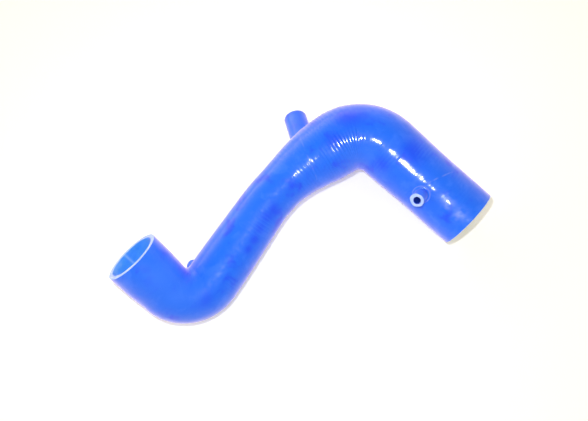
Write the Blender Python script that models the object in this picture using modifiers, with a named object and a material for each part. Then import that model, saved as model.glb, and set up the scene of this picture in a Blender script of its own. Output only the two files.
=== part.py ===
"""Moulded silicone intake hose: one reinforced tube with a stub and two small nipples, lying at rest."""
import math

import bmesh
import bpy
from mathutils import Matrix, Vector
from mathutils.bvhtree import BVHTree

# Bores and walls of the main tube, from the small cuff to the large one (metres).
WALL = 0.005
SMALL_CUFF_BORE = 0.0565
ELBOW_BORE = 0.0536
WAIST_BORE = 0.0476
BEND_BORE = 0.0682
LARGE_CUFF_BORE = 0.065

# Lengths of an even bore at each rim, where a clamp grips.
SMALL_CUFF_GRIP = 0.022
LARGE_CUFF_GRIP = 0.050

# Straight lengths between the bends, and how tight the inside of each bend is.
SMALL_LEG = 0.0540
MIDDLE_LEG = 0.0916
SHOULDER_LEG = 0.0226
LARGE_LEG = 0.1274
ELBOW_CROOK_RADIUS = 0.0043
SWEEP_RADIUS = 0.2645
BEND_CROOK_RADIUS = 0.0100

# Where each leg points: heading from +X towards +Y, and rise above level (degrees).
SMALL_LEG_HEADING = -43.8
SMALL_LEG_RISE = -30.5
MIDDLE_LEG_HEADING = 56.1
MIDDLE_LEG_RISE = 3.5
SHOULDER_LEG_HEADING = 32.9
SHOULDER_LEG_RISE = 3.5
LARGE_LEG_HEADING = -42.1
LARGE_LEG_RISE = -4.35

# Stub on the outside of the sweep, and the two nipples, which share one section.
STUB_BORE = 0.0204
STUB_WALL = 0.0039
STUB_LENGTH = 0.0404
STUB_BEFORE_BEND = 0.0395
STUB_HEADING = 104.4
STUB_RISE = -25.6
STUB_FILLET = 0.0045
NIPPLE_BORE = 0.0080
NIPPLE_WALL = 0.0037
NIPPLE_FILLET = 0.0025
CUFF_NIPPLE_LENGTH = 0.0195
CUFF_NIPPLE_FROM_RIM = 0.0620
CUFF_NIPPLE_ROUND = 49.1
CROOK_NIPPLE_LENGTH = 0.0139
CROOK_NIPPLE_BEFORE_ELBOW_END = 0.0006
CROOK_NIPPLE_ROUND = -142.2

# How finely the solids are faceted.
STRAIGHT_STEP = 0.014
BEND_STEP = math.radians(8.5)
TUBE_SIDES = 44
BORE_SIDES = 40
STUB_SIDES = 32
NIPPLE_SIDES = 20

CUT_OVERRUN = 0.012
WELD = 0.00001


def direction(heading, rise):
    """Unit vector at a heading and a rise, both in degrees."""
    level = math.cos(math.radians(rise))
    turn = math.radians(heading)
    return Vector((level * math.cos(turn), level * math.sin(turn), math.sin(math.radians(rise))))


def outside(bore):
    return bore + 2 * WALL


class Route:
    """The hose's centreline, walked from the small rim as straight legs and arcs."""

    def __init__(self, start, heading):
        self.points = [Vector(start)]
        self.lengths = [0.0]
        self.heading = heading

    @property
    def end(self):
        return self.lengths[-1]

    def add(self, point, length):
        self.points.append(point)
        self.lengths.append(self.end + length)

    def straight(self, length):
        count = max(1, math.ceil(length / STRAIGHT_STEP))
        for _ in range(count):
            self.add(self.points[-1] + self.heading * (length / count), length / count)

    def bend(self, towards, radius):
        """An arc of one radius that turns the heading to a new one."""
        angle = self.heading.angle(towards)
        inward = (towards - self.heading * self.heading.dot(towards)).normalized()
        first, ahead = self.points[-1], self.heading
        count = max(math.ceil(angle / BEND_STEP), math.ceil(angle * radius / STRAIGHT_STEP))
        for k in range(1, count + 1):
            turned = angle * k / count
            offset = ahead * math.sin(turned) + inward * (1 - math.cos(turned))
            self.add(first + offset * radius, radius * angle / count)
        self.heading = towards

    def at(self, length):
        """Centre and heading at a length along the route."""
        last = len(self.points) - 2
        k = next((i for i in range(last) if self.lengths[i + 1] >= length), last)
        run = self.points[k + 1] - self.points[k]
        share = (length - self.lengths[k]) / (self.lengths[k + 1] - self.lengths[k])
        return self.points[k] + run * share, run.normalized()


def walk_route():
    """The route, the bores named along it, and where its bends begin and end."""
    legs = [direction(SMALL_LEG_HEADING, SMALL_LEG_RISE),
            direction(MIDDLE_LEG_HEADING, MIDDLE_LEG_RISE),
            direction(SHOULDER_LEG_HEADING, SHOULDER_LEG_RISE),
            direction(LARGE_LEG_HEADING, LARGE_LEG_RISE)]
    route = Route((0, 0, 0), legs[0])
    route.straight(SMALL_LEG)
    elbow_start = route.end
    route.bend(legs[1], outside(ELBOW_BORE) / 2 + ELBOW_CROOK_RADIUS)
    elbow_end = route.end
    route.straight(MIDDLE_LEG)
    sweep_start = route.end
    route.bend(legs[2], SWEEP_RADIUS)
    sweep_end = route.end
    route.straight(SHOULDER_LEG)
    bend_start = route.end
    route.bend(legs[3], outside(BEND_BORE) / 2 + BEND_CROOK_RADIUS)
    bend_end = route.end
    route.straight(LARGE_LEG)
    waist = sweep_start + (sweep_end - sweep_start) / 3
    bores = [(0.0, SMALL_CUFF_BORE), (SMALL_CUFF_GRIP, SMALL_CUFF_BORE),
             (elbow_start, ELBOW_BORE), (elbow_end, ELBOW_BORE), (waist, WAIST_BORE),
             (bend_start, BEND_BORE), (bend_end, BEND_BORE),
             (route.end - LARGE_CUFF_GRIP, LARGE_CUFF_BORE), (route.end, LARGE_CUFF_BORE)]
    return route, bores, elbow_end, bend_start


def bore_at(bores, length):
    """Bore at a length along the route, eased between the named ones."""
    for (start, first), (stop, last) in zip(bores, bores[1:]):
        if length <= stop:
            share = max(0.0, (length - start) / (stop - start))
            return first + (last - first) * share * share * (3 - 2 * share)
    return bores[-1][1]


def collection(name):
    made = bpy.data.collections.new(name)
    bpy.context.scene.collection.children.link(made)
    return made


def silicone():
    made = bpy.data.materials.new("blue_silicone")
    made.use_nodes = True
    shader = made.node_tree.nodes["Principled BSDF"]
    shader.inputs["Base Color"].default_value = (0.018, 0.147, 0.900, 1.0)
    shader.inputs["Roughness"].default_value = 0.32
    shader.inputs["Metallic"].default_value = 0.0
    return made


def round_tube(name, points, radii, sides, group):
    """A solid tube through points, with a radius at each, as a welded mesh."""
    curve = bpy.data.curves.new(name, "CURVE")
    curve.dimensions = "3D"
    curve.bevel_depth = 1.0
    curve.bevel_resolution = (sides - 4) // 2
    curve.use_fill_caps = True
    spline = curve.splines.new("POLY")
    spline.points.add(len(points) - 1)
    for knot, point, radius in zip(spline.points, points, radii):
        knot.co = (*point, 1.0)
        knot.radius = radius
    guide = bpy.data.objects.new(name + "_curve", curve)
    group.objects.link(guide)
    mesh = bpy.data.meshes.new_from_object(guide.evaluated_get(bpy.context.evaluated_depsgraph_get()))
    solid = bmesh.new()
    solid.from_mesh(mesh)
    bmesh.ops.remove_doubles(solid, verts=solid.verts, dist=WELD)
    bmesh.ops.recalc_face_normals(solid, faces=solid.faces)
    solid.to_mesh(mesh)
    solid.free()
    made = bpy.data.objects.new(name, mesh)
    group.objects.link(made)
    made.matrix_world = guide.matrix_world
    bpy.data.objects.remove(guide)
    bpy.data.curves.remove(curve)
    return made


def turned(name, profile, sides, place, group):
    """A turned solid: its profile at +X runs down the outer side, top to bottom."""
    mesh = bpy.data.meshes.new(name)
    edges = [(k, k + 1) for k in range(len(profile) - 1)]
    mesh.from_pydata([(radius, 0.0, height) for radius, height in profile], edges, [])
    made = bpy.data.objects.new(name, mesh)
    group.objects.link(made)
    made.matrix_world = place
    screw = made.modifiers.new("turn", "SCREW")
    screw.steps = sides
    screw.render_steps = sides
    screw.use_merge_vertices = True
    screw.merge_threshold = WELD
    return made


def as_tool(tool, frame):
    """A body that the hose is joined with or cut by: drawn as wire and never rendered."""
    tool.hide_render = True
    tool.display_type = "WIRE"
    tool.parent = frame


def combine(part, tool, operation):
    step = part.modifiers.new(tool.name, "BOOLEAN")
    step.operation = operation
    step.solver = "EXACT"
    step.object = tool


def branch(name, part, frame, group, centre, out, seat, size):
    """A spigot that leaves the tube with a fillet, and the cutter for its bore."""
    bore, wall, length, fillet, sides = size
    radius = bore / 2 + wall
    tip = seat + length
    profile = [(0.0, tip), (radius, tip), (radius, seat + fillet)]
    for turn in (20, 40, 60):
        arc = math.radians(turn)
        profile.append((radius + fillet * (1 - math.cos(arc)), seat + fillet - fillet * math.sin(arc)))
    skirt = radius + fillet
    profile += [(skirt, seat - fillet), (skirt, seat / 2), (0.0, seat / 2)]
    place = Matrix.Translation(centre) @ out.to_track_quat("Z", "X").to_matrix().to_4x4()
    body = turned(name + "_body", profile, sides, place, group)
    top = tip + CUT_OVERRUN
    cutter = turned(name + "_bore", [(0.0, top), (bore / 2, top), (bore / 2, 0.0), (0.0, 0.0)], sides, place, group)
    for tool in (body, cutter):
        as_tool(tool, frame)
    combine(part, body, "UNION")
    return cutter


def round_the_tube(heading, degrees):
    """Unit vector square to the tube, turned up from level on its right-hand side."""
    side = heading.cross(Vector((0, 0, 1))).normalized()
    top = side.cross(heading)
    turn = math.radians(degrees)
    return side * math.cos(turn) + top * math.sin(turn)


def rest_place(part):
    """Lays the part on the hull face under its centre of mass, centred over the origin."""
    mesh = bpy.data.meshes.new_from_object(part.evaluated_get(bpy.context.evaluated_depsgraph_get()))
    solid = bmesh.new()
    solid.from_mesh(mesh)
    bmesh.ops.triangulate(solid, faces=solid.faces)
    volume, moment = 0.0, Vector()
    for face in solid.faces:
        a, b, c = (corner.co for corner in face.verts)
        share = a.dot(b.cross(c)) / 6
        volume += share
        moment += (a + b + c) / 4 * share
    points = [corner.co.copy() for corner in solid.verts]
    solid.free()
    bpy.data.meshes.remove(mesh)
    hull = bmesh.new()
    for point in points:
        hull.verts.new(point)
    made = bmesh.ops.convex_hull(hull, input=hull.verts)
    inside = [item for item in made["geom_interior"] if isinstance(item, bmesh.types.BMVert)]
    bmesh.ops.delete(hull, geom=inside, context="VERTS")
    bmesh.ops.recalc_face_normals(hull, faces=hull.faces)
    down = Vector((0, 0, -1))
    normal = BVHTree.FromBMesh(hull).ray_cast(moment / volume, down)[1]
    hull.free()
    if normal.dot(down) < 0:
        normal.negate()
    turn = normal.rotation_difference(down).to_matrix()
    laid = [turn @ point for point in points]
    low = Vector(tuple(min(point[k] for point in laid) for k in range(3)))
    high = Vector(tuple(max(point[k] for point in laid) for k in range(3)))
    base = Vector(((low.x + high.x) / 2, (low.y + high.y) / 2, low.z))
    return Matrix.Translation(-base) @ turn.to_4x4()


def build():
    for old in list(bpy.data.objects):
        bpy.data.objects.remove(old)
    parts = collection("silicone_intake_hose")
    tools = collection("cutters")
    frame = bpy.data.objects.new("rest_frame", None)
    tools.objects.link(frame)

    route, bores, elbow_end, bend_start = walk_route()
    inner = [bore_at(bores, length) / 2 for length in route.lengths]
    hose = round_tube("intake_hose", route.points, [radius + WALL for radius in inner], TUBE_SIDES, parts)
    hose.parent = frame
    hose.data.materials.append(silicone())

    before = route.points[0] + (route.points[0] - route.points[1]).normalized() * CUT_OVERRUN
    after = route.points[-1] + (route.points[-1] - route.points[-2]).normalized() * CUT_OVERRUN
    hollow = round_tube("main_bore", [before, *route.points, after], [inner[0], *inner, inner[-1]],
                        BORE_SIDES, tools)
    as_tool(hollow, frame)

    nipple = (NIPPLE_BORE, NIPPLE_WALL)
    spots = {
        "stub": (bend_start - STUB_BEFORE_BEND, None,
                 (STUB_BORE, STUB_WALL, STUB_LENGTH, STUB_FILLET, STUB_SIDES)),
        "cuff_nipple": (route.end - CUFF_NIPPLE_FROM_RIM, CUFF_NIPPLE_ROUND,
                        (*nipple, CUFF_NIPPLE_LENGTH, NIPPLE_FILLET, NIPPLE_SIDES)),
        "crook_nipple": (elbow_end - CROOK_NIPPLE_BEFORE_ELBOW_END, CROOK_NIPPLE_ROUND,
                         (*nipple, CROOK_NIPPLE_LENGTH, NIPPLE_FILLET, NIPPLE_SIDES)),
    }
    cutters = [hollow]
    for name, (length, turn, size) in spots.items():
        centre, heading = route.at(length)
        out = direction(STUB_HEADING, STUB_RISE) if turn is None else round_the_tube(heading, turn)
        seat = outside(bore_at(bores, length)) / 2
        cutters.append(branch(name, hose, frame, tools, centre, out, seat, size))
    for cutter in cutters:
        combine(hose, cutter, "DIFFERENCE")

    for polygon in hose.data.polygons:
        polygon.use_smooth = True
    frame.matrix_world = rest_place(hose)


build()
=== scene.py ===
import math

import bmesh
import bpy
import numpy as np
from mathutils import Euler, Matrix, Vector, noise
from mathutils.bvhtree import BVHTree
from mathutils.kdtree import KDTree


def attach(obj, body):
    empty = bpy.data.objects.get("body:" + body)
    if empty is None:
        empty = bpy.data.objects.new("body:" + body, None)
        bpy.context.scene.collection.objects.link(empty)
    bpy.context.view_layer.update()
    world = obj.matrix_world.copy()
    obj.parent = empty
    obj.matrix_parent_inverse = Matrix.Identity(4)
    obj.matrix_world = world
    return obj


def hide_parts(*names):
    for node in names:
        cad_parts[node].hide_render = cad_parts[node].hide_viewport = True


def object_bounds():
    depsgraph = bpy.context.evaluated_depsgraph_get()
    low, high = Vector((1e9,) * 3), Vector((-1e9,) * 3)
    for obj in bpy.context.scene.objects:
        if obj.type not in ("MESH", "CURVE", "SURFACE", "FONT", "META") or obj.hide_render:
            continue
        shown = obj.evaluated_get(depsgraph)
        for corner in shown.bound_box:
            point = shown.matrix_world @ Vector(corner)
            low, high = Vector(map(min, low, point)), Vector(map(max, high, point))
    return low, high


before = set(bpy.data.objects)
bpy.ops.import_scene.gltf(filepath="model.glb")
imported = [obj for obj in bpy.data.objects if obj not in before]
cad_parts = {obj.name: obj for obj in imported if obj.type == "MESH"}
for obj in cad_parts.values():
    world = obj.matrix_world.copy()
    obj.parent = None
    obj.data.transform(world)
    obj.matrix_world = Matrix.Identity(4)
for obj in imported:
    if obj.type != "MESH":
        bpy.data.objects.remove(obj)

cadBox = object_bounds()

# what a user would change on the main tube: metres and degrees, small rim first
hoseShape = {
    "wall": 0.005,
    "smallCuffBore": 0.0565,
    "elbowBore": 0.0536,
    "waistBore": 0.0476,
    "bendBore": 0.0682,
    "largeCuffBore": 0.065,
    "smallCuffGrip": 0.022,
    "largeCuffGrip": 0.050,
    "smallLeg": 0.0540,
    "middleLeg": 0.0916,
    "shoulderLeg": 0.0226,
    "largeLeg": 0.1274,
    "elbowCrookRadius": 0.0043,
    "sweepRadius": 0.2645,
    "bendCrookRadius": 0.0100,
    # heading and rise of each leg
    "headings": [(-43.8, -30.5), (56.1, 3.5), (32.9, 3.5), (-42.1, -4.35)],
    "restTurn": (0.04368, 0.02071, 0.0),
    "restShift": (-0.1916569, -0.0598713, 0.0808447),
    "sides": 120,
    "rimRound": 0.0006,
    "rimCorner": 0.3,
    "rimGrab": (0.0001, 0.001),
    "rimFlat": 0.8,
    "plyCuts": 7,
    "plySink": 0.00010,
    "pipeWeld": 0.00001,
    "hoseWeld": 0.00002,
    "smoothAngle": 38,
    "traceStep": 0.0005,
}


def unitAlong(heading, rise):
    turn, lift = math.radians(heading), math.radians(rise)
    level = math.cos(lift)
    return Vector((level * math.cos(turn), level * math.sin(turn), math.sin(lift)))


def ease(share):
    share = min(1.0, max(0.0, share))
    return share * share * (3 - 2 * share)


def walkRoute(shape):
    # the centreline as straight legs and arcs, each with where it starts and stops
    restPlace = Matrix.Translation(shape["restShift"]) @ Euler(
        [math.radians(turn) for turn in shape["restTurn"]]).to_matrix().to_4x4()
    ways = [restPlace.to_3x3() @ unitAlong(*pair) for pair in shape["headings"]]
    elbowRadius = shape["elbowBore"] / 2 + shape["wall"] + shape["elbowCrookRadius"]
    bendRadius = shape["bendBore"] / 2 + shape["wall"] + shape["bendCrookRadius"]
    plan = [("straight", shape["smallLeg"], ways[0]),
            ("arc", elbowRadius, ways[1]),
            ("straight", shape["middleLeg"], ways[1]),
            ("arc", shape["sweepRadius"], ways[2]),
            ("straight", shape["shoulderLeg"], ways[2]),
            ("arc", bendRadius, ways[3]),
            ("straight", shape["largeLeg"], ways[3])]
    legs, point, ahead, start = [], restPlace.to_translation(), ways[0], 0.0
    for kind, size, towards in plan:
        leg = {"start": start, "point": point.copy(), "ahead": ahead.copy(), "radius": None}
        run = size
        if kind == "arc":
            angle = ahead.angle(towards)
            run = size * angle
            leg["radius"] = size
            leg["inward"] = (towards - ahead * ahead.dot(towards)).normalized()
        leg["stop"] = start + run
        legs.append(leg)
        point, ahead = placeOn(leg, run)
        start = leg["stop"]
    return legs


def placeOn(leg, run):
    if leg["radius"] is None:
        return leg["point"] + leg["ahead"] * run, leg["ahead"].copy()
    turned = run / leg["radius"]
    offset = leg["ahead"] * math.sin(turned) + leg["inward"] * (1 - math.cos(turned))
    heading = leg["ahead"] * math.cos(turned) + leg["inward"] * math.sin(turned)
    return leg["point"] + offset * leg["radius"], heading


def routeAt(legs, length):
    leg = next((leg for leg in legs if length <= leg["stop"]), legs[-1])
    return placeOn(leg, length - leg["start"])


def aroundFrame(heading):
    # right-hand side of the tube, and its top: zero and ninety degrees round it
    side = heading.cross(Vector((0, 0, 1))).normalized()
    return side, side.cross(heading)


def boreTable(shape, legs):
    sweep = legs[3]
    waist = sweep["start"] + (sweep["stop"] - sweep["start"]) / 3
    end = legs[-1]["stop"]
    return [(0.0, shape["smallCuffBore"]), (shape["smallCuffGrip"], shape["smallCuffBore"]),
            (legs[1]["start"], shape["elbowBore"]), (legs[1]["stop"], shape["elbowBore"]),
            (waist, shape["waistBore"]),
            (legs[5]["start"], shape["bendBore"]), (legs[5]["stop"], shape["bendBore"]),
            (end - shape["largeCuffGrip"], shape["largeCuffBore"]), (end, shape["largeCuffBore"])]


def boreAt(table, length):
    for (start, first), (stop, last) in zip(table, table[1:]):
        if length <= stop:
            return first + (last - first) * ease((length - start) / (stop - start))
    return table[-1][1]


# rings stand closer where the photo's wrap marks and patch edges are fine
ringSpacing = {
    "atRim": 0.0013,
    "usual": 0.0015,
    "inside": 0.0040,
    "fine": [(0.200, 0.262, 0.0011), (0.262, 0.378, 0.0007),
             (0.378, 0.455, 0.0011), (0.455, 0.486, 0.0007)],
}


def ringLengths(first, last, spacing, inside):
    lengths = [first, first + spacing["atRim"]]
    while lengths[-1] < last - spacing["atRim"]:
        step = spacing["inside"] if inside else spacing["usual"]
        for start, stop, size in [] if inside else spacing["fine"]:
            if start <= lengths[-1] < stop:
                step = size
        lengths.append(lengths[-1] + step)
    return lengths[:-2] + [last - spacing["atRim"], last]


def deselectAll():
    if bpy.context.object and bpy.context.object.mode != "OBJECT":
        bpy.ops.object.mode_set(mode="OBJECT")
    bpy.ops.object.select_all(action="DESELECT")


def makeActive(piece):
    deselectAll()
    piece.select_set(True)
    bpy.context.view_layer.objects.active = piece


def pipeAlong(name, legs, lengths, radii, sides):
    # a round pipe through the route: a curve with a bevel, made a mesh
    deselectAll()
    bpy.ops.curve.primitive_bezier_circle_add(radius=1.0)
    section = bpy.context.object
    section.data.resolution_u = sides // 4
    curve = bpy.data.curves.new(name, "CURVE")
    curve.dimensions = "3D"
    curve.bevel_mode = "OBJECT"
    curve.bevel_object = section
    spline = curve.splines.new("POLY")
    spline.points.add(len(lengths) - 1)
    for knot, length, radius in zip(spline.points, lengths, radii):
        knot.co = (*routeAt(legs, length)[0], 1.0)
        knot.radius = radius
    pipe = bpy.data.objects.new(name, curve)
    bpy.context.scene.collection.objects.link(pipe)
    makeActive(pipe)
    bpy.ops.object.convert(target="MESH")
    bpy.data.objects.remove(section)
    return bpy.context.object


def meshPoints(mesh):
    points = np.zeros(len(mesh.vertices) * 3)
    mesh.vertices.foreach_get("co", points)
    return points.reshape(-1, 3)


def setMeshPoints(mesh, points):
    mesh.vertices.foreach_set("co", points.astype(np.float32).ravel())
    mesh.update()


# the moulded marks, in metres, with places as lengths from the small rim and degrees round the tube
reliefMarks = {
    # soft unevenness: height, size and a shift that keeps the noises apart
    "bumps": [(0.00030, 0.045, 3.1), (0.00014, 0.011, 11.7), (0.00003, 0.0042, 31.9)],
    "wrapPitch": 0.0041,
    "wrapHeight": 0.00016,
    "wrapFrom": 0.238,
    "wrapTo": 0.372,
    "wrapFade": 0.035,
    "wrapElsewhere": 0.16,
    # how uneven the ridges are (least, share, size, shift) and how far they wander (share, size, shift)
    "wrapUneven": (0.75, 0.9, 0.012, 23.0),
    "wrapWander": (0.35, 0.03, 7.0),
    "folds": [(0.268, 0.300, 0.9), (0.304, 0.368, 1.3)],
    "foldFade": 0.010,
    "tapePitch": 0.026,
    "tapeHeight": 0.00012,
    "tapeRise": 0.05,
    # reinforcing patches, each up to an edge of turns and lengths, thinning out over its back
    "patches": [
        {"height": 0.00025, "back": 0.045, "catchlightShare": 0.55,
         "edge": [(20, 0.2870), (56.4, 0.2916), (76.9, 0.2945),
                  (101.0, 0.2985), (124.4, 0.3023), (160, 0.3080)]},
        {"height": 0.00025, "back": 0.035, "catchlightShare": 0.9,
         "edge": [(42, 0.4600), (70.0, 0.4648), (84.9, 0.4681), (99.4, 0.4722), (130, 0.4800)]},
    ],
    "patchFade": 20,
    "edgeWidth": 0.0009,
    "shelfHeight": 0.00034,
    "shelfEdge": [(0.3150, 68), (0.3243, 65.2), (0.3359, 60.3), (0.3512, 55.2),
                  (0.3711, 53.2), (0.3912, 55.7), (0.4050, 60)],
    "shelfWidth": 7.0,
    "shelfReach": 40,
    "shelfReachFade": 30,
    "shelfEndFade": 0.02,
    # flattened strips where the glints widen: start, stop, turn, depth and width
    "flats": [(0.266, 0.284, 76.6, 0.00036, 0.006), (0.286, 0.302, 76.0, 0.00036, 0.006),
              (0.308, 0.345, 74.6, 0.00050, 0.007), (0.338, 0.366, 73.2, 0.00062, 0.0075),
              (0.407, 0.462, 71.0, 0.00030, 0.006), (0.478, 0.500, 70.5, 0.00035, 0.0075)],
    "flatFade": 0.007,
    "boreSeamTurn": -78.0,
    "boreSeamHeight": 0.00035,
    "boreSeamWidth": 3.0,
}


noiseWay = Vector((1.0, 0.7, -1.0))


def softNoise(point, size, shift):
    return noise.noise(Vector(point) / size + noiseWay * shift)


def inSpan(place, start, stop, fade):
    # one between two places, easing to none at both
    return ease((place - start) / fade) * ease((stop - place) / fade)


def outsideRelief(length, turn, radius, point, marks):
    height = sum(rise * softNoise(point, size, shift) for rise, size, shift in marks["bumps"])
    strength = marks["wrapElsewhere"]
    strength += (1 - strength) * inSpan(length, marks["wrapFrom"], marks["wrapTo"], marks["wrapFade"])
    for start, stop, gain in marks["folds"]:
        strength += gain * inSpan(length, start, stop, marks["foldFade"])
    least, share, *uneven = marks["wrapUneven"]
    strength *= least + share * softNoise(point, *uneven)
    share, *wander = marks["wrapWander"]
    wound = length / marks["wrapPitch"] + turn / 360 + share * softNoise(point, *wander)
    wave = 0.5 - 0.5 * math.cos(2 * math.pi * wound)
    height += marks["wrapHeight"] * max(0.0, strength) * wave * wave
    tape = (length / marks["tapePitch"] - turn / 360) % 1.0
    height += marks["tapeHeight"] * (ease(tape / marks["tapeRise"]) * (1 - tape) - 0.5)
    for patch in marks["patches"]:
        turns, lengths = zip(*patch["edge"])
        if turns[0] < turn < turns[-1]:
            before = float(np.interp(turn, turns, lengths)) - length
            rise = ease(before / marks["edgeWidth"] + 0.5) * ease((patch["back"] - before) / patch["back"])
            height += patch["height"] * rise * inSpan(turn, turns[0], turns[-1], marks["patchFade"])
    for start, stop, middle, depth, width in marks["flats"]:
        off = math.radians(turn - middle) * radius / width
        height -= depth * math.exp(-off * off) * inSpan(length, start, stop, marks["flatFade"])
    starts, turns = zip(*marks["shelfEdge"])
    if starts[0] < length < starts[-1]:
        below = float(np.interp(length, starts, turns)) - turn
        rise = ease(below / marks["shelfWidth"] + 0.5)
        rise *= ease((marks["shelfReach"] - below) / marks["shelfReachFade"])
        height += marks["shelfHeight"] * rise * inSpan(length, starts[0], starts[-1], marks["shelfEndFade"])
    return height


def insideRelief(turn, marks):
    off = (turn - marks["boreSeamTurn"]) / marks["boreSeamWidth"]
    return -marks["boreSeamHeight"] * math.exp(-off * off)


def carve(pipe, legs, lengths, sides, marks, inside):
    # moves every point of a pipe in or out along its own radius by the moulded marks
    points = meshPoints(pipe.data)
    for ring, length in enumerate(lengths):
        centre, heading = routeAt(legs, length)
        side, top = aroundFrame(heading)
        for place in range(ring * sides, (ring + 1) * sides):
            arm = Vector(points[place]) - centre
            turn = math.degrees(math.atan2(arm.dot(top), arm.dot(side)))
            if inside:
                height = insideRelief(turn, marks)
            else:
                height = outsideRelief(length, turn, arm.length, points[place], marks)
            points[place] = points[place] + np.array(arm.normalized()) * height
    setMeshPoints(pipe.data, points)


def giveFinishes(piece, name):
    piece.data.materials.clear()
    for finish in finishes:
        piece.data.materials.append(finish)
    faces = piece.data.polygons
    faces.foreach_set("material_index", [finishNames.index(name)] * len(faces))
    piece.data.update()


def selectEdges(mesh, test):
    bpy.ops.mesh.select_mode(type="EDGE")
    bpy.ops.mesh.select_all(action="DESELECT")
    shaped = bmesh.from_edit_mesh(mesh)
    for edge in shaped.edges:
        edge.select_set(test(edge))
    bmesh.update_edit_mesh(mesh)


def makeTube(shape, legs, marks, spacing):
    table = boreTable(shape, legs)
    end = legs[-1]["stop"]
    sides = shape["sides"]
    pipes = []
    for name, inside in (("hose_outside", False), ("hose_bore", True)):
        lengths = ringLengths(shape["rimRound"], end - shape["rimRound"], spacing, inside)
        wall = 0.0 if inside else shape["wall"]
        radii = [boreAt(table, length) / 2 + wall for length in lengths]
        pipe = pipeAlong(name, legs, lengths, radii, sides)
        carve(pipe, legs, lengths, sides, marks, inside)
        giveFinishes(pipe, "bore" if inside else "skin")
        pipes.append(pipe)
    deselectAll()
    for pipe in pipes:
        pipe.select_set(True)
    bpy.context.view_layer.objects.active = pipes[0]
    bpy.ops.object.join()
    tube = bpy.context.object
    bpy.ops.object.mode_set(mode="EDIT")
    for length in (0.0, end):
        centre, heading = routeAt(legs, length)
        inward = heading if length == 0.0 else -heading
        closeRim(tube.data, centre, inward, boreAt(table, length) / 2, shape)
    bpy.ops.mesh.select_all(action="SELECT")
    bpy.ops.mesh.remove_doubles(threshold=shape["pipeWeld"])
    bpy.ops.mesh.normals_make_consistent(inside=False)
    bpy.ops.object.mode_set(mode="OBJECT")
    return tube


def rimProfile(shape):
    # across a cut end, from the skin to the bore: the share of the wall, and how far the ring is sunk.
    # the silicone between the fabric plies stands a little lower than their cut edges
    curl = shape["rimRound"] / shape["wall"]
    corner = curl * shape["rimCorner"]
    sunk = shape["rimRound"] * shape["rimCorner"]
    profile = [(corner, sunk), (curl, 0.0)]
    for cut in range(1, shape["plyCuts"]):
        share = curl + (1 - 2 * curl) * cut / shape["plyCuts"]
        profile.append((share, shape["plySink"] if cut % 2 else 0.0))
    return profile + [(1 - curl, 0.0), (1 - corner, sunk), (1.0, shape["rimRound"])]


def closeRim(mesh, centre, inward, radius, shape):
    # extrudes the skin's last ring across the wall, ring by ring, onto the bore's last ring
    nearEnd, nearRound = shape["rimGrab"]

    def onEnd(corner, size):
        arm = corner.co - centre
        depth = arm.dot(inward)
        offRound = abs((arm - inward * depth).length - size)
        return abs(depth - shape["rimRound"]) < nearEnd and offRound < nearRound

    selectEdges(mesh, lambda edge: edge.is_boundary and all(
        onEnd(corner, radius + shape["wall"]) for corner in edge.verts))
    shaped = bmesh.from_edit_mesh(mesh)
    bores = [corner.co.copy() for corner in shaped.verts if onEnd(corner, radius)]
    starts = [corner.co.copy() for corner in shaped.verts if corner.select]
    goals = [min(bores, key=lambda point: (point - start).length) for start in starts]
    ring = starts
    for share, sink in rimProfile(shape):
        bpy.ops.mesh.extrude_edges_move()
        shaped = bmesh.from_edit_mesh(mesh)
        tree = KDTree(len(ring))
        for number, point in enumerate(ring):
            tree.insert(point, number)
        tree.balance()
        drop = inward * (sink - shape["rimRound"])
        ring = [start.lerp(goal, share) + drop for start, goal in zip(starts, goals)]
        for corner in (corner for corner in shaped.verts if corner.select):
            corner.co = ring[tree.find(corner.co)[1]]
        for face in (face for face in shaped.faces if sum(corner.select for corner in face.verts) == 2):
            off = abs((face.calc_center_median() - centre).dot(inward))
            if off < shape["rimRound"] * shape["rimFlat"] and face.material_index == 0:
                face.material_index = finishNames.index("rim")
        bmesh.update_edit_mesh(mesh)


# the three branches: places along the tube, ways out, and sections in metres and degrees
branchShapes = {
    "stub": {
        "length": 0.2988, "heading": 104.4, "rise": -25.6, "turn": None,
        "bore": 0.0204, "wall": 0.0039, "reach": 0.0404, "fillet": 0.0045, "edge": 0.0006,
        "pad": 0.0015, "padHeight": 0.00018, "columns": 96, "wallRings": 14,
        "lump": 0.0, "lumpTurn": 0.0, "finish": "skin",
    },
    "cuffNipple": {
        "length": 0.46826, "heading": None, "rise": None, "turn": 49.1,
        "bore": 0.0080, "wall": 0.0037, "reach": 0.0195, "fillet": 0.0014, "edge": 0.0005,
        "pad": 0.0008, "padHeight": 0.00055, "columns": 64, "wallRings": 10,
        "lump": 0.0009, "lumpTurn": 180.0, "finish": "nipple",
    },
    "crookNipple": {
        "length": 0.1166, "heading": None, "rise": None, "turn": -142.2,
        "bore": 0.0080, "wall": 0.0037, "reach": 0.0139, "fillet": 0.0016, "edge": 0.0005,
        "pad": 0.0006, "padHeight": 0.00025, "columns": 64, "wallRings": 8,
        "lump": 0.0006, "lumpTurn": 60.0, "finish": "skin",
    },
}
branchJoin = {
    "footDepth": 0.0025,
    "footRings": 4,
    # the foot's widest ring: how far past the pad, and how deep in the skin
    "footPast": 0.0003,
    "footSunk": 0.0004,
    "filletSteps": 6,
    "corner": 0.3,
    # the bore's mouth: share of the edge it opens by, and how far above the tip it is cut
    "mouth": 0.8,
    "mouthLift": 0.00001,
    "overrun": 0.006,
    "castFrom": 0.02,
    # the tip's uneven lump: depth, narrowness, and a wave's share, count and shift
    "lumpDepth": 0.004,
    "lumpNarrow": 3.5,
    "lumpWave": (0.2, 5, 1.0),
    "tipNear": 0.2,
    "sideNear": 0.0003,
}


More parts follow.
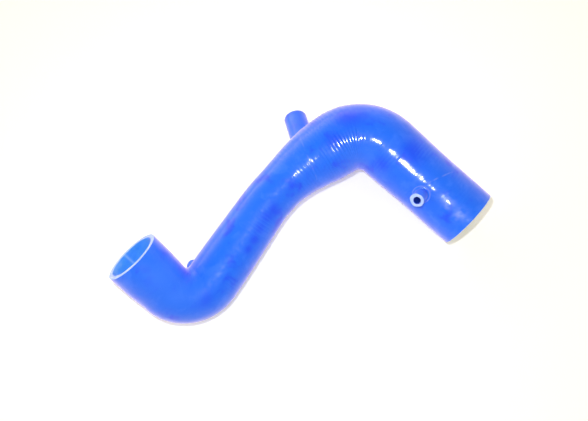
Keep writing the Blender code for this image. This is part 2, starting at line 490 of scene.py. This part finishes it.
def branchPlace(branch, shape, legs):
    centre, heading = routeAt(legs, branch["length"])
    if branch["turn"] is None:
        out = unitAlong(branch["heading"], branch["rise"])
    else:
        side, top = aroundFrame(heading)
        turn = math.radians(branch["turn"])
        out = side * math.cos(turn) + top * math.sin(turn)
    across = heading.cross(out).normalized()
    seat = boreAt(boreTable(shape, legs), branch["length"]) / 2 + shape["wall"]
    return {"centre": centre, "out": out, "along": out.cross(across), "across": across,
            "seat": seat, "tip": seat + branch["reach"]}


def bodyRings(branch, join, tip):
    # rings from the foot in the wall up to the cut tip: a radius, a height, and what it is measured from
    radius = branch["bore"] / 2 + branch["wall"]
    edge, fillet, lift = branch["edge"], branch["fillet"], branch["padHeight"]
    rim = radius + fillet + branch["pad"]
    steps = range(1, join["footRings"] + 1)
    rings = [(rim * step / join["footRings"], -join["footDepth"], "skin") for step in steps]
    rings += [(rim + join["footPast"], -join["footSunk"], "skin"), (rim, lift, "skin")]
    for step in range(join["filletSteps"] + 1):
        turn = math.radians(90 * step / join["filletSteps"])
        rings.append((radius + fillet * (1 - math.sin(turn)), lift + fillet * (1 - math.cos(turn)), "skin"))
    rings += [(radius, ring / branch["wallRings"], "wall") for ring in range(1, branch["wallRings"])]
    corner = edge * join["corner"]
    return rings + [(radius, tip - edge, "centre"), (radius - corner, tip - corner, "centre"),
                    (radius - edge, tip, "centre")]


def boreRings(branch, join, tip):
    hole, mouth = branch["bore"] / 2, branch["edge"] * join["mouth"]
    heights = [(hole, 0.0), (hole, tip - mouth), (hole + mouth, tip + join["mouthLift"]),
               (hole + mouth, tip + join["overrun"])]
    return [(size, height, "centre") for size, height in heights]


def turnUp(name, branch, place, rings, join, skin, finish):
    # a solid of rings round the branch's own line, extruded one by one from a filled circle
    centre, out, along, across = place["centre"], place["out"], place["along"], place["across"]
    high = place["tip"] + join["castFrom"]
    waveShare, waveCount, waveShift = join["lumpWave"]

    def skinHeight(arm):
        return high - skin.ray_cast(centre + arm + out * high, -out)[3]

    deselectAll()
    bpy.ops.mesh.primitive_circle_add(vertices=branch["columns"], radius=rings[0][0], fill_type="NGON")
    body = bpy.context.object
    body.name = name
    for corner in body.data.vertices:
        corner.co = centre + along * corner.co.x + across * corner.co.y
    bpy.ops.object.mode_set(mode="EDIT")
    bpy.ops.mesh.select_mode(type="FACE")
    bpy.ops.mesh.select_all(action="SELECT")
    for number, (size, height, start) in enumerate(rings):
        if number:
            bpy.ops.mesh.extrude_region_move()
        shaped = bmesh.from_edit_mesh(body.data)
        for corner in (corner for corner in shaped.verts if corner.select):
            arm = corner.co - centre
            turn = math.atan2(arm.dot(across), arm.dot(along))
            way = along * math.cos(turn) + across * math.sin(turn)
            reach, rise = size, height
            if start == "skin":
                rise = skinHeight(way * size) + height
            if start == "wall":
                foot = skinHeight(way * size) + branch["padHeight"] + branch["fillet"]
                rise = foot + (place["tip"] - branch["edge"] - foot) * height
            if finish == "skin" and branch["lump"]:
                near = ease((rise - place["tip"]) / join["lumpDepth"] + 1)
                swell = math.exp(join["lumpNarrow"] * (math.cos(turn - math.radians(branch["lumpTurn"])) - 1))
                swell += waveShare * math.sin(waveCount * turn + waveShift)
                reach += branch["lump"] * near * swell
            corner.co = centre + way * reach + out * rise
        bmesh.update_edit_mesh(body.data)
    bpy.ops.mesh.select_all(action="SELECT")
    bpy.ops.mesh.normals_make_consistent(inside=False)
    bpy.ops.object.mode_set(mode="OBJECT")
    giveFinishes(body, finish)
    if finish == "skin":
        beside = branch["bore"] / 2 + branch["wall"] + join["sideNear"]
        for face in body.data.polygons:
            arm = Vector(face.center) - centre
            rise = arm.dot(out)
            if abs(rise - place["tip"]) < branch["edge"] * join["tipNear"]:
                face.material_index = finishNames.index("rim")
            elif (arm - out * rise).length < beside:
                face.material_index = finishNames.index(branch["finish"])
    return body


def combine(piece, tools, operation):
    for tool in tools:
        step = piece.modifiers.new(tool.name, "BOOLEAN")
        step.operation = operation
        step.object = tool
        step.solver = "MANIFOLD"
        makeActive(piece)
        bpy.ops.object.modifier_apply(modifier=step.name)
        bpy.data.objects.remove(tool)


def addBranches(tube, shapes, join, shape, legs):
    shaped = bmesh.new()
    shaped.from_mesh(tube.data)
    skin = BVHTree.FromBMesh(shaped)
    shaped.free()
    solids = {"skin": [], "hole": []}
    for name, branch in shapes.items():
        place = branchPlace(branch, shape, legs)
        for finish, ringsOf in (("skin", bodyRings), ("hole", boreRings)):
            rings = ringsOf(branch, join, place["tip"])
            title = name + "_" + finish
            solids[finish].append(turnUp(title, branch, place, rings, join, skin, finish))
    combine(tube, solids["skin"], "UNION")
    combine(tube, solids["hole"], "DIFFERENCE")
    print("branches joined and bored:", len(tube.data.polygons), "faces")


def layUv(piece, legs, shape):
    # u is turns round the tube and v is metres along it
    step = shape["traceStep"]
    table = boreTable(shape, legs)
    count = int(legs[-1]["stop"] / step) + 1
    tree = KDTree(count)
    for number in range(count):
        tree.insert(routeAt(legs, number * step)[0], number)
    tree.balance()
    mesh = piece.data
    turns, lengths, reaches = (np.zeros(len(mesh.vertices)) for _ in range(3))
    for corner in mesh.vertices:
        centre, number, _ = tree.find(corner.co)
        heading = routeAt(legs, number * step)[1]
        arm = corner.co - centre
        side, top = aroundFrame(heading)
        turns[corner.index] = math.atan2(arm.dot(top), arm.dot(side)) / (2 * math.pi)
        lengths[corner.index] = number * step + arm.dot(heading)
        reaches[corner.index] = arm.length - boreAt(table, number * step) / 2 - shape["wall"]
    mesh.uv_layers.new(name="wrap")
    for old in [old for old in mesh.uv_layers if old.name != "wrap"]:
        mesh.uv_layers.remove(old)
    layer = mesh.uv_layers["wrap"]
    for face in mesh.polygons:
        first = turns[face.vertices[0]]
        for loop, corner in zip(face.loop_indices, face.vertices):
            layer.data[loop].uv = (turns[corner] + round(first - turns[corner]), lengths[corner])
    return turns * 360, lengths, reaches


def addMark(mesh, name, values):
    layer = mesh.attributes.new(name, "FLOAT", "POINT")
    layer.data.foreach_set("value", values.astype(np.float32))


def hump(off):
    return np.exp(-off ** 2)


def nearSpot(turns, lengths, spot, radius):
    # how near each point is to a spot on a tube of this radius, from none to one
    length, turn, size = spot
    off = (turns - turn + 180) % 360 - 180
    return hump(np.hypot(lengths - length, np.radians(off) * radius) / size)


def evenSpan(places, start, stop, fade):
    return np.clip((places - start) / fade, 0, 1) * np.clip((stop - places) / fade, 0, 1)


def fromLine(points, place, way):
    # how far points lie along a line from a place on it, and away from it
    arms = points - np.array(place)
    along = arms @ np.array(way)
    return along, np.linalg.norm(arms - np.outer(along, np.array(way)), axis=1)


def markLines(mesh, turns, lengths, reaches, legs, shape, marks, lines):
    # painted catch-lights along the patch edges, round the cuff nipple's foot and as glint blotches, a pale
    # line on the bore's seam, and painted sheen
    onSkin = abs(reaches) < lines["skinDepth"]
    least, share, *uneven = lines["broken"]
    broken = np.array([softNoise(corner.co, *uneven) for corner in mesh.vertices])
    broken = np.clip(least + share * broken, 0, 1) * onSkin
    pale = np.zeros(len(turns))
    for patch in marks["patches"]:
        edgeTurns, edgeLengths = zip(*patch["edge"])
        line = hump((lengths - np.interp(turns, edgeTurns, edgeLengths)) / lines["patchWidth"])
        line *= evenSpan(turns, edgeTurns[0], edgeTurns[-1], lines["patchFade"])
        pale = np.maximum(pale, line * broken * patch["catchlightShare"])
    for *spot, share in lines["glintBlotches"]:
        near = nearSpot(turns, lengths, spot, shape["largeCuffBore"] / 2)
        pale = np.maximum(pale, near * share * broken)
    # a painted catch-light ring round the cuff nipple's foot
    branch = branchShapes["cuffNipple"]
    place = branchPlace(branch, shape, legs)
    along, across = fromLine(meshPoints(mesh), place["centre"], place["out"])
    foot = branch["bore"] / 2 + branch["wall"] + branch["fillet"] + branch["pad"]
    ring = hump((across - foot) / lines["footWidth"]) * (along > 0)
    addMark(mesh, "paintedCatchlight", np.maximum(pale, ring))
    off = np.radians(turns - marks["boreSeamTurn"]) * shape["smallCuffBore"] / 2 / lines["seamWidth"]
    addMark(mesh, "seamLine", hump(off) * (lengths < lines["seamLength"]))
    # a painted reflection: paler below the shelf edge on the bend, with painted sheen spots on the cuff and
    # elbow
    edgeLengths, edgeTurns = zip(*marks["shelfEdge"])
    under = np.interp(lengths, edgeLengths, edgeTurns) - turns
    tone = np.clip(under / marks["shelfWidth"] + 0.5, 0, 1)
    tone *= np.clip((lines["shelfReach"] - under / marks["shelfWidth"]) / lines["shelfFade"], 0, 1)
    tone *= evenSpan(lengths, edgeLengths[0], edgeLengths[-1], marks["shelfEndFade"]) * lines["shelfSheen"]
    for *spot, share in lines["paler"]:
        tone = np.maximum(tone, nearSpot(turns, lengths, spot, shape["smallCuffBore"] / 2) * share)
    addMark(mesh, "paintedSheen", tone)


def markSkin(mesh, turns, lengths, shape):
    radius = shape["bendBore"] / 2 + shape["wall"]
    for name, spots in skinMarks.items():
        addMark(mesh, name, np.max([nearSpot(turns, lengths, spot, radius) for spot in spots], axis=0))


def markDepth(piece, legs, shape, branches, lines):
    # how deep a point lies in the wall of its own cut end, from the bore to the skin
    points = meshPoints(piece.data)
    depth = np.zeros(len(points))
    table = boreTable(shape, legs)
    ends = []
    for length in (0.0, legs[-1]["stop"]):
        ends.append((*routeAt(legs, length), boreAt(table, length) / 2, shape["wall"]))
    for branch in branches.values():
        place = branchPlace(branch, shape, legs)
        tip = place["centre"] + place["out"] * place["tip"]
        ends.append((tip, place["out"], branch["bore"] / 2, branch["wall"]))
    for centre, way, radius, wall in ends:
        along, across = fromLine(points, centre, way)
        picked = (abs(along) < lines["rimNear"]) & (across < radius + wall * lines["rimReach"])
        depth[picked] = (across[picked] - radius) / wall
    addMark(piece.data, "wallDepth", depth)


def finishHose(hose, legs, shape, branches, box):
    makeActive(hose)
    bpy.ops.object.mode_set(mode="EDIT")
    bpy.ops.mesh.select_all(action="SELECT")
    bpy.ops.mesh.remove_doubles(threshold=shape["hoseWeld"])
    bpy.ops.mesh.normals_make_consistent(inside=False)
    bpy.ops.mesh.select_all(action="DESELECT")
    bpy.ops.object.mode_set(mode="OBJECT")
    low, high = (np.array(corner) for corner in box)
    setMeshPoints(hose.data, np.clip(meshPoints(hose.data), low, high))
    bpy.ops.object.shade_smooth_by_angle(angle=math.radians(shape["smoothAngle"]))
    turns, lengths, reaches = layUv(hose, legs, shape)
    markSkin(hose.data, turns, lengths, shape)
    markLines(hose.data, turns, lengths, reaches, legs, shape, reliefMarks, lineMarks)
    markDepth(hose, legs, shape, branches, lineMarks)


# finishes: linear colours, and sizes in metres
siliconeLook = {
    "colour": (0.002, 0.156, 0.970, 1.0),
    "deep": (0.000, 0.082, 0.960, 1.0),
    "pale": (0.020, 0.184, 1.000, 1.0),
    "patchSize": 0.020,
    "speckSize": 0.005,
    "roughness": (0.44, 0.60),
    "bend": 1.43,
    "specular": 0.3,
    "coat": 0.4,
    "dullFrom": 0.7,
    "coatRoughness": 0.13,
    "sheen": 0.82,
    "sheenTint": (1.0, 0.78, 1.0, 1.0),
    "sheenRoughness": 0.41,
    # the pale colour of the painted catch-lights and glint blotches
    "line": (0.260, 0.380, 1.000, 1.0),
    "lineShare": 0.45,
    "wrapPitch": 0.0041,
    "wrapBump": 0.00006,
    "threadPitch": 0.0007,
    "threadBump": 0.000010,
    "tapeTint": 0.45,
    "pebbles": {"Scale": 520.0, "Detail": 2.0},
    "pebbleBump": 0.00016,
}
# the cut ends: ply bands of fabric, on a colour painted paler than the skin that stands in for the flash
# lighting the rough cut
rimLook = {
    "colour": (0.39, 0.57, 0.97, 1.0),
    "deep": (0.30, 0.45, 0.95, 1.0),
    "fibre": (0.60, 0.70, 1.00, 1.0),
    "patchSize": 0.008,
    "speckSize": 0.002,
    "roughness": 0.6,
    "plies": 4,
    "plyBand": (-0.2, -1.0),
    "fray": {"Scale": 1400.0, "Detail": 2.0},
    "frayBump": 0.6,
    "frayHeight": 0.0001,
}
# painted light: the main bore is coloured lighter and more cyan than the skin, standing in for light bouncing
# inside it
litBoreLook = {
    "colour": (0.085, 0.400, 1.000, 1.0),
    "deep": (0.050, 0.320, 1.000, 1.0),
    "pale": (0.200, 0.520, 1.000, 1.0),
    "line": (0.420, 0.720, 1.000, 1.0),
    "lineShare": 0.6,
    "roughness": (0.30, 0.42),
    "sheen": 0.45,
}
nippleLook = {**siliconeLook, "sheen": 0.25}
# painted shade: the small branch bores are coloured dark navy, as shade deep in the holes
shadedHoleLook = {
    "colour": (0.006, 0.070, 0.600, 1.0),
    "deep": (0.003, 0.050, 0.500, 1.0),
    "pale": (0.012, 0.090, 0.700, 1.0),
    "line": (0.012, 0.090, 0.700, 1.0),
    "lineShare": 0.0,
    "roughness": (0.40, 0.50),
    "sheen": 0.05,
}
# painted shade and dark reflections as darker spots, and rough and dull spots on the skin, as length along,
# degrees round and size
skinMarks = {
    "paintedShade": [(0.0200, 162, 0.007), (0.0320, 166, 0.009), (0.0434, 166, 0.012), (0.0550, 160, 0.013),
                 (0.0660, 152, 0.013), (0.0740, 142, 0.011), (0.0945, 64, 0.010), (0.1700, 56, 0.006),
                 (0.1830, 57, 0.007), (0.1970, 60, 0.008), (0.2120, 62, 0.009), (0.2240, 60, 0.008),
                 (0.2600, 62, 0.006), (0.3300, 84, 0.010), (0.3560, 112, 0.014), (0.4119, 44, 0.010),
                 (0.4300, 98, 0.016)],
    "roughSpot": [(0.3440, 80, 0.008), (0.4250, 62, 0.006), (0.4761, 74, 0.003), (0.4911, 72, 0.008),
                  (0.5080, 67, 0.008)],
    "dullSpot": [(0.1080, 84, 0.018), (0.1200, 84, 0.018), (0.1320, 83, 0.018), (0.1450, 82, 0.018),
                 (0.1600, 82, 0.018), (0.2600, 77, 0.009), (0.2835, 77, 0.003), (0.3150, 76, 0.013),
                 (0.5060, 69, 0.010)],
}
# painted catch-lights: thin pale lines at the patches' edges and round the cuff nipple's foot, and pale
# blotches where the flash glints; also a thin pale line along the bore's seam
lineMarks = {
    "skinDepth": 0.0015,
    "patchWidth": 0.0008,
    "patchFade": 15,
    "footWidth": 0.0006,
    "seamWidth": 0.0013,
    "seamLength": 0.028,
    "shelfSheen": 0.55,
    "shelfReach": 8,
    "shelfFade": 4,
    # how the pale lines break up: least, share, size and shift
    "broken": (0.62, 1.5, 0.0045, 5.3),
    # painted sheen, lighter on top of the small cuff and the elbow: length along, degrees round, size and
    # share
    "paler": [(0.0300, 100.0, 0.022, 0.9), (0.0600, 95.0, 0.020, 0.8), (0.0850, 85.0, 0.018, 0.7)],
    # painted highlights, pale blotches where the flash glints: length along, degrees round, size and share
    "glintBlotches": [(0.4915, 73.0, 0.0050, 1.5), (0.4985, 67.5, 0.0060, 1.5), (0.5145, 67.5, 0.0062, 1.6)],
    "rimNear": 0.001,
    "rimReach": 1.4,
}
# how the noises turn into shares of pigment, and where the tape's print shows
pigmentShape = {
    "patches": {"Detail": 3.0, "Roughness": 0.55, "Distortion": 0.4},
    "specks": {"Detail": 2.0, "Roughness": 0.6},
    "deepBand": (0.52, 0.74),
    "paleBand": (0.47, 0.30),
    "speckBand": (0.58, 0.75),
    "speckShare": 0.12,
    "hazeBand": (0.35, 0.65),
}
printShape = {
    "drift": {"Scale": 40.0, "Detail": 1.0},
    "riseBand": (0.0, 0.22),
    "fallBand": (0.3, 1.0),
    "patches": {"Scale": 38.0, "Detail": 3.0, "Distortion": 0.6},
    "patchBand": (0.48, 0.70),
}


def plug(tree, value, socket):
    # an output is linked, and a plain number or colour is set
    if isinstance(value, bpy.types.NodeSocket):
        tree.links.new(value, socket)
    else:
        socket.default_value = value


def addNode(tree, kind, at, **values):
    # values go to the node's own settings, or else to its sockets
    node = tree.nodes.new("ShaderNode" + kind)
    node.location = at
    for name, value in values.items():
        if hasattr(node, name):
            setattr(node, name, value)
        else:
            plug(tree, value, node.inputs[name.replace("_", " ")])
    return node


def mathNode(tree, operation, at, *values):
    node = addNode(tree, "Math", at, operation=operation)
    for value, socket in zip(values, node.inputs):
        plug(tree, value, socket)
    return node.outputs[0]


def mixNode(tree, at, share, first, second):
    node = addNode(tree, "Mix", at, data_type="RGBA", Factor=share)
    plug(tree, first, node.inputs[6])
    plug(tree, second, node.inputs[7])
    return node.outputs[2]


def bandNode(tree, at, value, band, result=(0.0, 1.0), soft=True):
    # a value's place in a band, as the same place in the result
    node = addNode(tree, "MapRange", at, interpolation_type="SMOOTHSTEP" if soft else "LINEAR", Value=value,
                   From_Min=band[0], From_Max=band[1], To_Min=result[0], To_Max=result[1])
    return node.outputs["Result"]


def noiseNode(tree, at, **values):
    return addNode(tree, "TexNoise", at, **values).outputs["Fac"]


def ownPoint(tree, at):
    return addNode(tree, "TexCoord", at).outputs["Object"]


def readMark(tree, name, at):
    return addNode(tree, "Attribute", at, attribute_name=name).outputs["Fac"]


def setSockets(tree, node, values):
    for name, value in values.items():
        plug(tree, value, node.inputs[name])


def newGroup(name, inputs, outputs):
    # a colour is given as four numbers, and anything else as one
    group = bpy.data.node_groups.new(name, "ShaderNodeTree")
    for title, value in inputs.items():
        kind = "NodeSocketColor" if isinstance(value, tuple) else "NodeSocketFloat"
        group.interface.new_socket(title, in_out="INPUT", socket_type=kind).default_value = value
    for title, kind in outputs.items():
        group.interface.new_socket(title, in_out="OUTPUT", socket_type=kind)
    start = group.nodes.new("NodeGroupInput")
    start.location = (-900, 0)
    stop = group.nodes.new("NodeGroupOutput")
    stop.location = (900, 0)
    return group, start.outputs, stop


def mottleGroup(look, shape):
    # cloudy patches of pigment, with small specks, from the piece's own coordinates
    group, given, made = newGroup("silicone_mottle", {
        "Colour": look["colour"], "Deep": look["deep"], "Pale": look["pale"], "Patch Size": look["patchSize"],
        "Speck Size": look["speckSize"], "Painted Shade": 0.0, "Tape Print And Sheen": 0.0, "Line": 0.0, "Line Colour": look["line"]},
        {"Colour": "NodeSocketColor", "Haze": "NodeSocketFloat"})
    spot = ownPoint(group, (-900, 300))
    patchScale = mathNode(group, "DIVIDE", (-700, 100), 1.0, given["Patch Size"])
    speckScale = mathNode(group, "DIVIDE", (-700, -100), 1.0, given["Speck Size"])
    patches = noiseNode(group, (-450, 300), Vector=spot, Scale=patchScale, **shape["patches"])
    specks = noiseNode(group, (-450, 0), Vector=spot, Scale=speckScale, **shape["specks"])
    deep = bandNode(group, (-200, 300), patches, shape["deepBand"])
    pale = bandNode(group, (-200, 50), patches, shape["paleBand"])
    speck = bandNode(group, (-200, -200), specks, shape["speckBand"], (0.0, shape["speckShare"]), soft=False)
    colour = given["Colour"]
    # then painted shade, the tape print with painted sheen, and the lines, which on the skin are painted
    # catch-lights
    for place, (share, over) in enumerate((
            (deep, "Deep"), (pale, "Pale"), (speck, "Deep"),
            (given["Painted Shade"], "Deep"), (given["Tape Print And Sheen"], "Pale"), (given["Line"], "Line Colour"))):
        colour = mixNode(group, (50 + 140 * place, 300 - 60 * place), share, colour, given[over])
    setSockets(group, made, {"Colour": colour, "Haze": specks})
    return group


def wrapGroup(look, shape):
    # the print of the curing tape: overlapped edges round the tube, and a fine thread grain
    group, given, made = newGroup("tape_print", {
        "Pitch": look["wrapPitch"], "Depth": look["wrapBump"],
        "Thread Pitch": look["threadPitch"], "Thread Depth": look["threadBump"]},
        {"Height": "NodeSocketFloat", "Edge": "NodeSocketFloat"})
    wrap = addNode(group, "UVMap", (-900, 300), uv_map="wrap")
    parts = addNode(group, "SeparateXYZ", (-720, 300), Vector=wrap.outputs["UV"]).outputs
    spot = ownPoint(group, (-900, -200))
    drift = noiseNode(group, (-720, -150), Vector=spot, **shape["drift"])
    patches = noiseNode(group, (-60, -150), Vector=spot, **shape["patches"])
    turns = mathNode(group, "DIVIDE", (-540, 350), parts["Y"], given["Pitch"])
    slant = mathNode(group, "ADD", (-380, 300), turns, parts["X"])
    wander = mathNode(group, "ADD", (-220, 250), slant, drift)
    saw = mathNode(group, "FRACT", (-60, 250), wander)
    rise = bandNode(group, (100, 300), saw, shape["riseBand"])
    fall = bandNode(group, (100, 100), saw, shape["fallBand"], (1.0, 0.0), soft=False)
    whole = mathNode(group, "MULTIPLY", (300, 250), rise, fall)
    amount = bandNode(group, (120, -120), patches, shape["patchBand"], soft=False)
    edge = mathNode(group, "MULTIPLY", (460, 200), whole, amount)
    raised = mathNode(group, "MULTIPLY", (600, 200), edge, given["Depth"])
    threads = mathNode(group, "DIVIDE", (-380, -400), parts["Y"], given["Thread Pitch"])
    circle = mathNode(group, "MULTIPLY", (-220, -400), threads, 2 * math.pi)
    grain = mathNode(group, "SINE", (-60, -400), circle)
    fine = mathNode(group, "MULTIPLY", (300, -400), grain, given["Thread Depth"])
    height = mathNode(group, "ADD", (740, 100), raised, fine)
    setSockets(group, made, {"Height": height, "Edge": edge})
    return group


def useGroup(tree, group, at, values):
    node = tree.nodes.new("ShaderNodeGroup")
    node.node_tree = group
    node.location = at
    setSockets(tree, node, values)
    return node


def newFinish(name):
    finish = bpy.data.materials.new(name)
    finish.use_nodes = True
    return finish, finish.node_tree, finish.node_tree.nodes["Principled BSDF"]


def siliconeFinish(name, look, mottle, line, tapePrint=None):
    finish, tree, shader = newFinish(name)
    lines = mathNode(tree, "MULTIPLY", (-800, 500), readMark(tree, line, (-1000, 500)), look["lineShare"])
    colour = useGroup(tree, mottle, (-600, 300), {
        "Colour": look["colour"], "Deep": look["deep"], "Pale": look["pale"],
        "Line": lines, "Line Colour": look["line"],
        "Patch Size": siliconeLook["patchSize"], "Speck Size": siliconeLook["speckSize"]})
    haze = colour.outputs["Haze"]
    rough = bandNode(tree, (-350, 100), haze, pigmentShape["hazeBand"], look["roughness"], soft=False)
    setSockets(tree, shader, {
        "Base Color": colour.outputs["Colour"],
        "Roughness": rough,
        "IOR": siliconeLook["bend"],
        "Specular IOR Level": siliconeLook["specular"],
        "Coat Weight": siliconeLook["coat"],
        "Coat Roughness": siliconeLook["coatRoughness"],
        "Sheen Weight": look["sheen"],
        "Sheen Roughness": siliconeLook["sheenRoughness"],
        "Sheen Tint": siliconeLook["sheenTint"]})
    if tapePrint:
        addSkinMarks(tree, shader, colour, look, tapePrint)
    return finish


def addSkinMarks(tree, shader, colour, look, tapePrint):
    # tape print with painted sheen, painted shade, rough spots and dull places, which only the skin has
    marks = useGroup(tree, tapePrint, (-1300, -200), {
        "Pitch": look["wrapPitch"], "Depth": look["wrapBump"],
        "Thread Pitch": look["threadPitch"], "Thread Depth": look["threadBump"]})
    tape = mathNode(tree, "MULTIPLY", (-1050, 0), marks.outputs["Edge"], look["tapeTint"])
    # the tape print's pale edges, with the painted sheen and painted reflection laid over them
    paler = mathNode(tree, "MAXIMUM", (-850, 0), tape, readMark(tree, "paintedSheen", (-1050, 130)))
    # painted shade: the colour goes darker at the listed shade spots
    setSockets(tree, colour, {"Painted Shade": readMark(tree, "paintedShade", (-1050, 250)), "Tape Print And Sheen": paler})
    pebbles = noiseNode(tree, (-1300, -600), Vector=ownPoint(tree, (-1500, -600)), **look["pebbles"])
    rough = mathNode(tree, "MULTIPLY", (-1000, -500), pebbles, readMark(tree, "roughSpot", (-1300, -400)))
    raised = mathNode(tree, "MULTIPLY", (-800, -500), rough, look["pebbleBump"])
    height = mathNode(tree, "ADD", (-600, -350), marks.outputs["Height"], raised)
    bump = addNode(tree, "Bump", (-350, -200), Strength=1.0, Distance=1.0, Height=height)
    dull = readMark(tree, "dullSpot", (-600, -80))
    coat = bandNode(tree, (-350, -50), dull, (0.0, look["dullFrom"]), (look["coat"], 0.0), soft=False)
    setSockets(tree, shader, {"Normal": bump.outputs["Normal"], "Coat Weight": coat})


def rimFinish(look, mottle):
    finish, tree, shader = newFinish("cut_silicone")
    depth = readMark(tree, "wallDepth", (-1100, 100))
    circle = mathNode(tree, "MULTIPLY", (-900, 100), depth, 2 * math.pi * look["plies"])
    ply = bandNode(tree, (-560, 100), mathNode(tree, "COSINE", (-740, 100), circle), look["plyBand"])
    fray = noiseNode(tree, (-900, -150), Vector=ownPoint(tree, (-1100, -150)), **look["fray"])
    frayed = mathNode(tree, "MULTIPLY", (-380, 50), ply, fray)
    colour = useGroup(tree, mottle, (-560, 400), {
        "Colour": look["colour"], "Deep": look["deep"], "Pale": look["fibre"],
        "Patch Size": look["patchSize"], "Speck Size": look["speckSize"]})
    bump = addNode(tree, "Bump", (-250, -200), Strength=look["frayBump"],
                   Distance=look["frayHeight"], Height=fray)
    setSockets(tree, shader, {
        "Base Color": mixNode(tree, (-200, 250), frayed, colour.outputs["Colour"], look["fibre"]),
        "Roughness": look["roughness"],
        "Normal": bump.outputs["Normal"]})
    return finish


# camera, floor and light: the photo's view, on a plain white sweep
viewShape = {
    "lens": 39.80,
    "sensor": 36.0,
    "place": (-0.0129, -0.1593, 0.7902),
    "tilt": 12.0,
    "floorSize": 6.0,
    "floorColour": (0.88, 0.92, 0.985, 1.0),
    "floorGlow": (0.40, 0.34, 0.14, 1.0),
    "floorRoughness": 0.9,
    "skyColour": (1.0, 0.985, 0.96, 1.0),
    "skyTop": 0.20,
    "skyEdge": 1.0,
    "lampPlace": (-0.058, -0.098, 0.800),
    "lampSize": 0.022,
    "lampPower": 3.0,
    "flashPlace": (0.020, -0.220, 0.790),
    "flashSize": 0.030,
    "flashPower": 5.0,
    "aim": (0.0, 0.0, 0.03),
    "windowWay": (-0.80, 0.60, 0.0),
    "windowEdge": 0.30,
    "windowHigh": 0.65,
    "windowLight": 3.6,
    "windowColour": (1.0, 0.68, 0.95, 1.0),
}


def addCamera(view):
    bpy.ops.object.camera_add(location=view["place"], rotation=(math.radians(view["tilt"]), 0, 0))
    camera = bpy.context.object
    camera.name = "photo_camera"
    camera.data.lens = view["lens"]
    camera.data.sensor_width = view["sensor"]
    camera.data.sensor_fit = "HORIZONTAL"
    bpy.context.scene.camera = camera


def addFloor(view):
    bpy.ops.mesh.primitive_plane_add(size=view["floorSize"], location=(0, 0, 0))
    floor = bpy.context.object
    floor.name = "white_floor"
    paper, tree, shader = newFinish("white_paper")
    setSockets(tree, shader, {
        "Base Color": view["floorColour"],
        "Roughness": view["floorRoughness"],
        "Specular IOR Level": 0.0,
        "Emission Color": mixNode(tree, (-250, -250), seenRays(tree), (0, 0, 0, 1), view["floorGlow"]),
        "Emission Strength": 1.0})
    floor.data.materials.append(paper)


def seenRays(tree):
    # camera, glossy and transmission rays, which see the white background
    path = addNode(tree, "LightPath", (-1000, -300)).outputs
    first = mathNode(tree, "MAXIMUM", (-750, -250), path["Is Camera Ray"], path["Is Glossy Ray"])
    return mathNode(tree, "MAXIMUM", (-550, -250), first, path["Is Transmission Ray"])


def addSky(view):
    # a soft studio: light walls, lighter still on the left, and a darker ceiling
    world = bpy.data.worlds.new("white_room")
    bpy.context.scene.world = world
    world.use_nodes = True
    tree = world.node_tree
    way = addNode(tree, "TexCoord", (-1200, 0)).outputs["Generated"]
    high = addNode(tree, "SeparateXYZ", (-1000, 100), Vector=way).outputs["Z"]
    left = addNode(tree, "VectorMath", (-1000, -150), operation="DOT_PRODUCT")
    plug(tree, way, left.inputs[0])
    plug(tree, view["windowWay"], left.inputs[1])
    facing = bandNode(tree, (-800, -150), left.outputs["Value"], (view["windowEdge"], 1.0))
    low = bandNode(tree, (-800, -450), high, (0.0, view["windowHigh"]), (1.0, 0.0))
    window = mathNode(tree, "MULTIPLY", (-500, -200), facing, low)
    wall = bandNode(tree, (-500, 150), high, (0.0, 1.0), (view["skyEdge"], view["skyTop"]), soft=False)
    added = mathNode(tree, "MULTIPLY", (-350, -200), window, view["windowLight"])
    setSockets(tree, tree.nodes["Background"], {
        "Color": mixNode(tree, (-250, 250), window, view["skyColour"], view["windowColour"]),
        "Strength": mathNode(tree, "ADD", (-250, 0), wall, added)})


def addLamp(view, name, lights, glints):
    # the lamp casts the shadow, and the flash only makes the glints
    place = Vector(view[name + "Place"])
    bpy.ops.object.light_add(type="AREA", location=place)
    lamp = bpy.context.object
    lamp.name = name
    lamp.data.shape = "DISK"
    lamp.data.size = view[name + "Size"]
    lamp.data.energy = view[name + "Power"]
    lamp.rotation_euler = (Vector(view["aim"]) - place).to_track_quat("-Z", "Y").to_euler()
    lamp.visible_glossy = glints
    lamp.visible_diffuse = lights


bpy.context.scene.view_settings.view_transform = "Standard"
deselectAll()
addCamera(viewShape)
addFloor(viewShape)
addSky(viewShape)
addLamp(viewShape, "lamp", lights=True, glints=False)
addLamp(viewShape, "flash", lights=False, glints=True)
print("camera, floor and light are up")

mottle = mottleGroup(siliconeLook, pigmentShape)
tapePrint = wrapGroup(siliconeLook, printShape)
finishNames = ["skin", "rim", "bore", "hole", "nipple"]
finishes = [siliconeFinish("blue_silicone", siliconeLook, mottle, "paintedCatchlight", tapePrint),
            rimFinish(rimLook, mottle),
            siliconeFinish("bore_painted_light", litBoreLook, mottle, "seamLine"),
            siliconeFinish("hole_painted_shade", shadedHoleLook, mottle, "seamLine"),
            siliconeFinish("nipple_silicone", nippleLook, mottle, "paintedCatchlight")]
print("finishes made:", len(finishes))

legs = walkRoute(hoseShape)
hose = makeTube(hoseShape, legs, reliefMarks, ringSpacing)
hose.name = "silicone_hose"
print("tube made:", len(hose.data.polygons), "faces")
addBranches(hose, branchShapes, branchJoin, hoseShape, legs)
finishHose(hose, legs, hoseShape, branchShapes, cadBox)
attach(hose, "root")
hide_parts("intake_hose")
print("hose finished:", len(hose.data.polygons), "faces")
